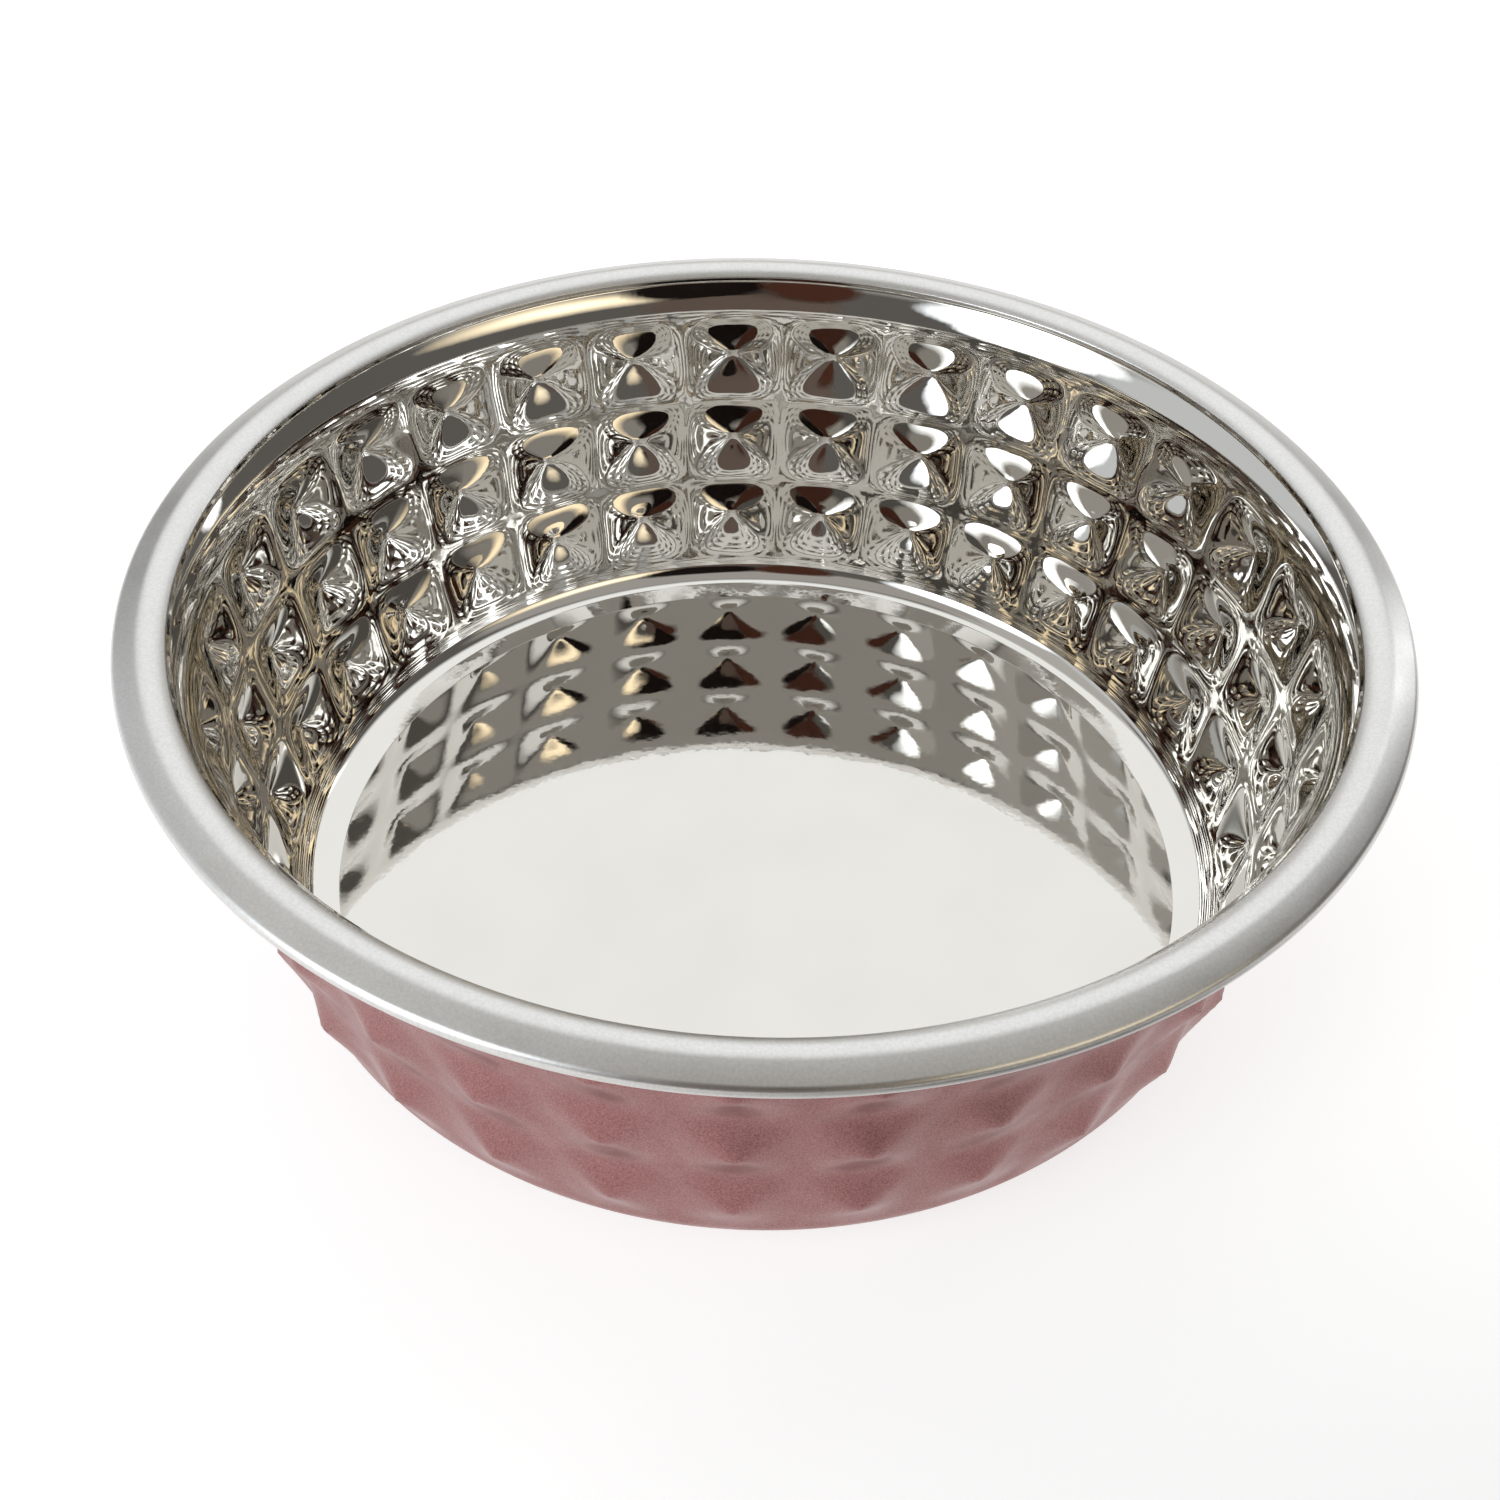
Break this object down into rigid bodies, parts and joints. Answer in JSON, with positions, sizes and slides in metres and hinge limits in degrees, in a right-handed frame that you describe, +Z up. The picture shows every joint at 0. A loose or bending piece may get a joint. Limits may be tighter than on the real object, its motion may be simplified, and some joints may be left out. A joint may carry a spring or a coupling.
{
  "type": "hammered copper bowl",
  "caption": "Round feeding and serving bowl of pressed steel with a dimpled copper-coloured outside, a rolled rim and a rubber base ring.",
  "frame": {"origin": "centre of the base, on the plane that the rubber ring rests on", "axes": "+Z up along the bowl's axis, +Y away from the viewer, +X to the right"},
  "size_m": [0.1749, 0.175, 0.058],
  "materials": {
    "polished_steel": "mirror polished inside, satin on the top of the rim",
    "copper_enamel": "satin metallic dusty-rose copper",
    "black_rubber": "matt"
  },
  "bodies": {
    "root": {"steel_bowl": "polished_steel", "copper_coat": "copper_enamel", "rubber_ring": "black_rubber"}
  },
  "joints": []
}
